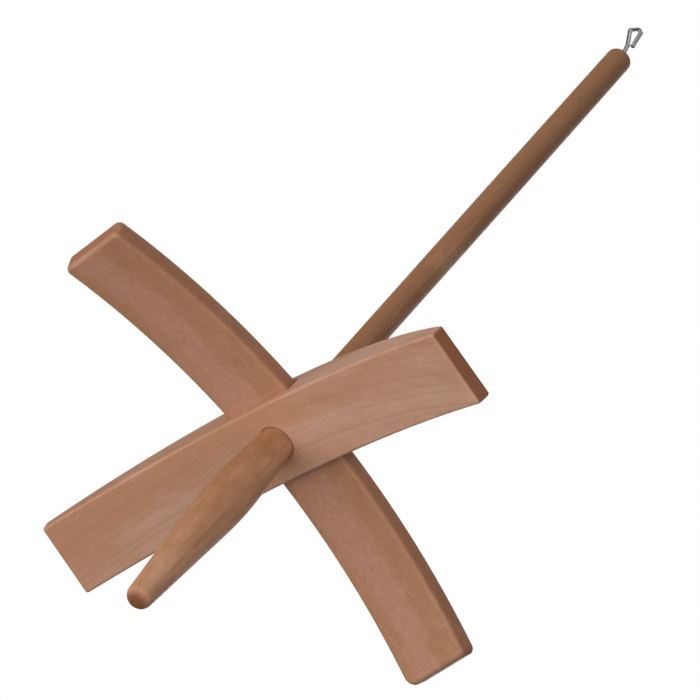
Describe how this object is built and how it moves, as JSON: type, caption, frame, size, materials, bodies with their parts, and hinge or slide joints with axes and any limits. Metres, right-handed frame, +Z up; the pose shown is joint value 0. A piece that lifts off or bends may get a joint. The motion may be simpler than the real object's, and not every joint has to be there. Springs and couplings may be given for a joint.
{
  "type": "drop spindle",
  "caption": "Turkish drop spindle: a turned hardwood shaft with a wire hook, and two bowed arms that cross through each other and slide off over the hook end.",
  "frame": {"origin": "lowest point of the shaft's rounded tip, on the shaft's axis", "axes": "+Z up the shaft to the hook, as it hangs in use; the outer arm lies along X and the inner arm near Y"},
  "size_m": [0.2004, 0.1867, 0.386],
  "materials": {
    "shaft_wood": "satin sanded silver-beech-like hardwood",
    "outer_arm_wood": "satin sanded silver-beech-like hardwood, long ring lines",
    "inner_arm_wood": "satin sanded silver-beech-like hardwood, fine ray fleck",
    "hook_steel": "bright nickel-plated steel wire"
  },
  "bodies": {
    "shaft": {"shaft": "shaft_wood", "hook": "hook_steel"},
    "outer_arm": {"outer_arm": "outer_arm_wood"},
    "inner_arm": {"inner_arm": "inner_arm_wood"}
  },
  "joints": [
    {"name": "arms_slide", "type": "slide", "parent": "shaft", "child": "outer_arm", "axis": [0, 0, 1], "range_m": [0, 0.3]},
    {"name": "inner_arm_turn", "type": "hinge", "parent": "outer_arm", "child": "inner_arm", "pos_m": [0, 0, 0.09843], "axis": [0, 0, 1], "range_deg": [0, 7]}
  ]
}
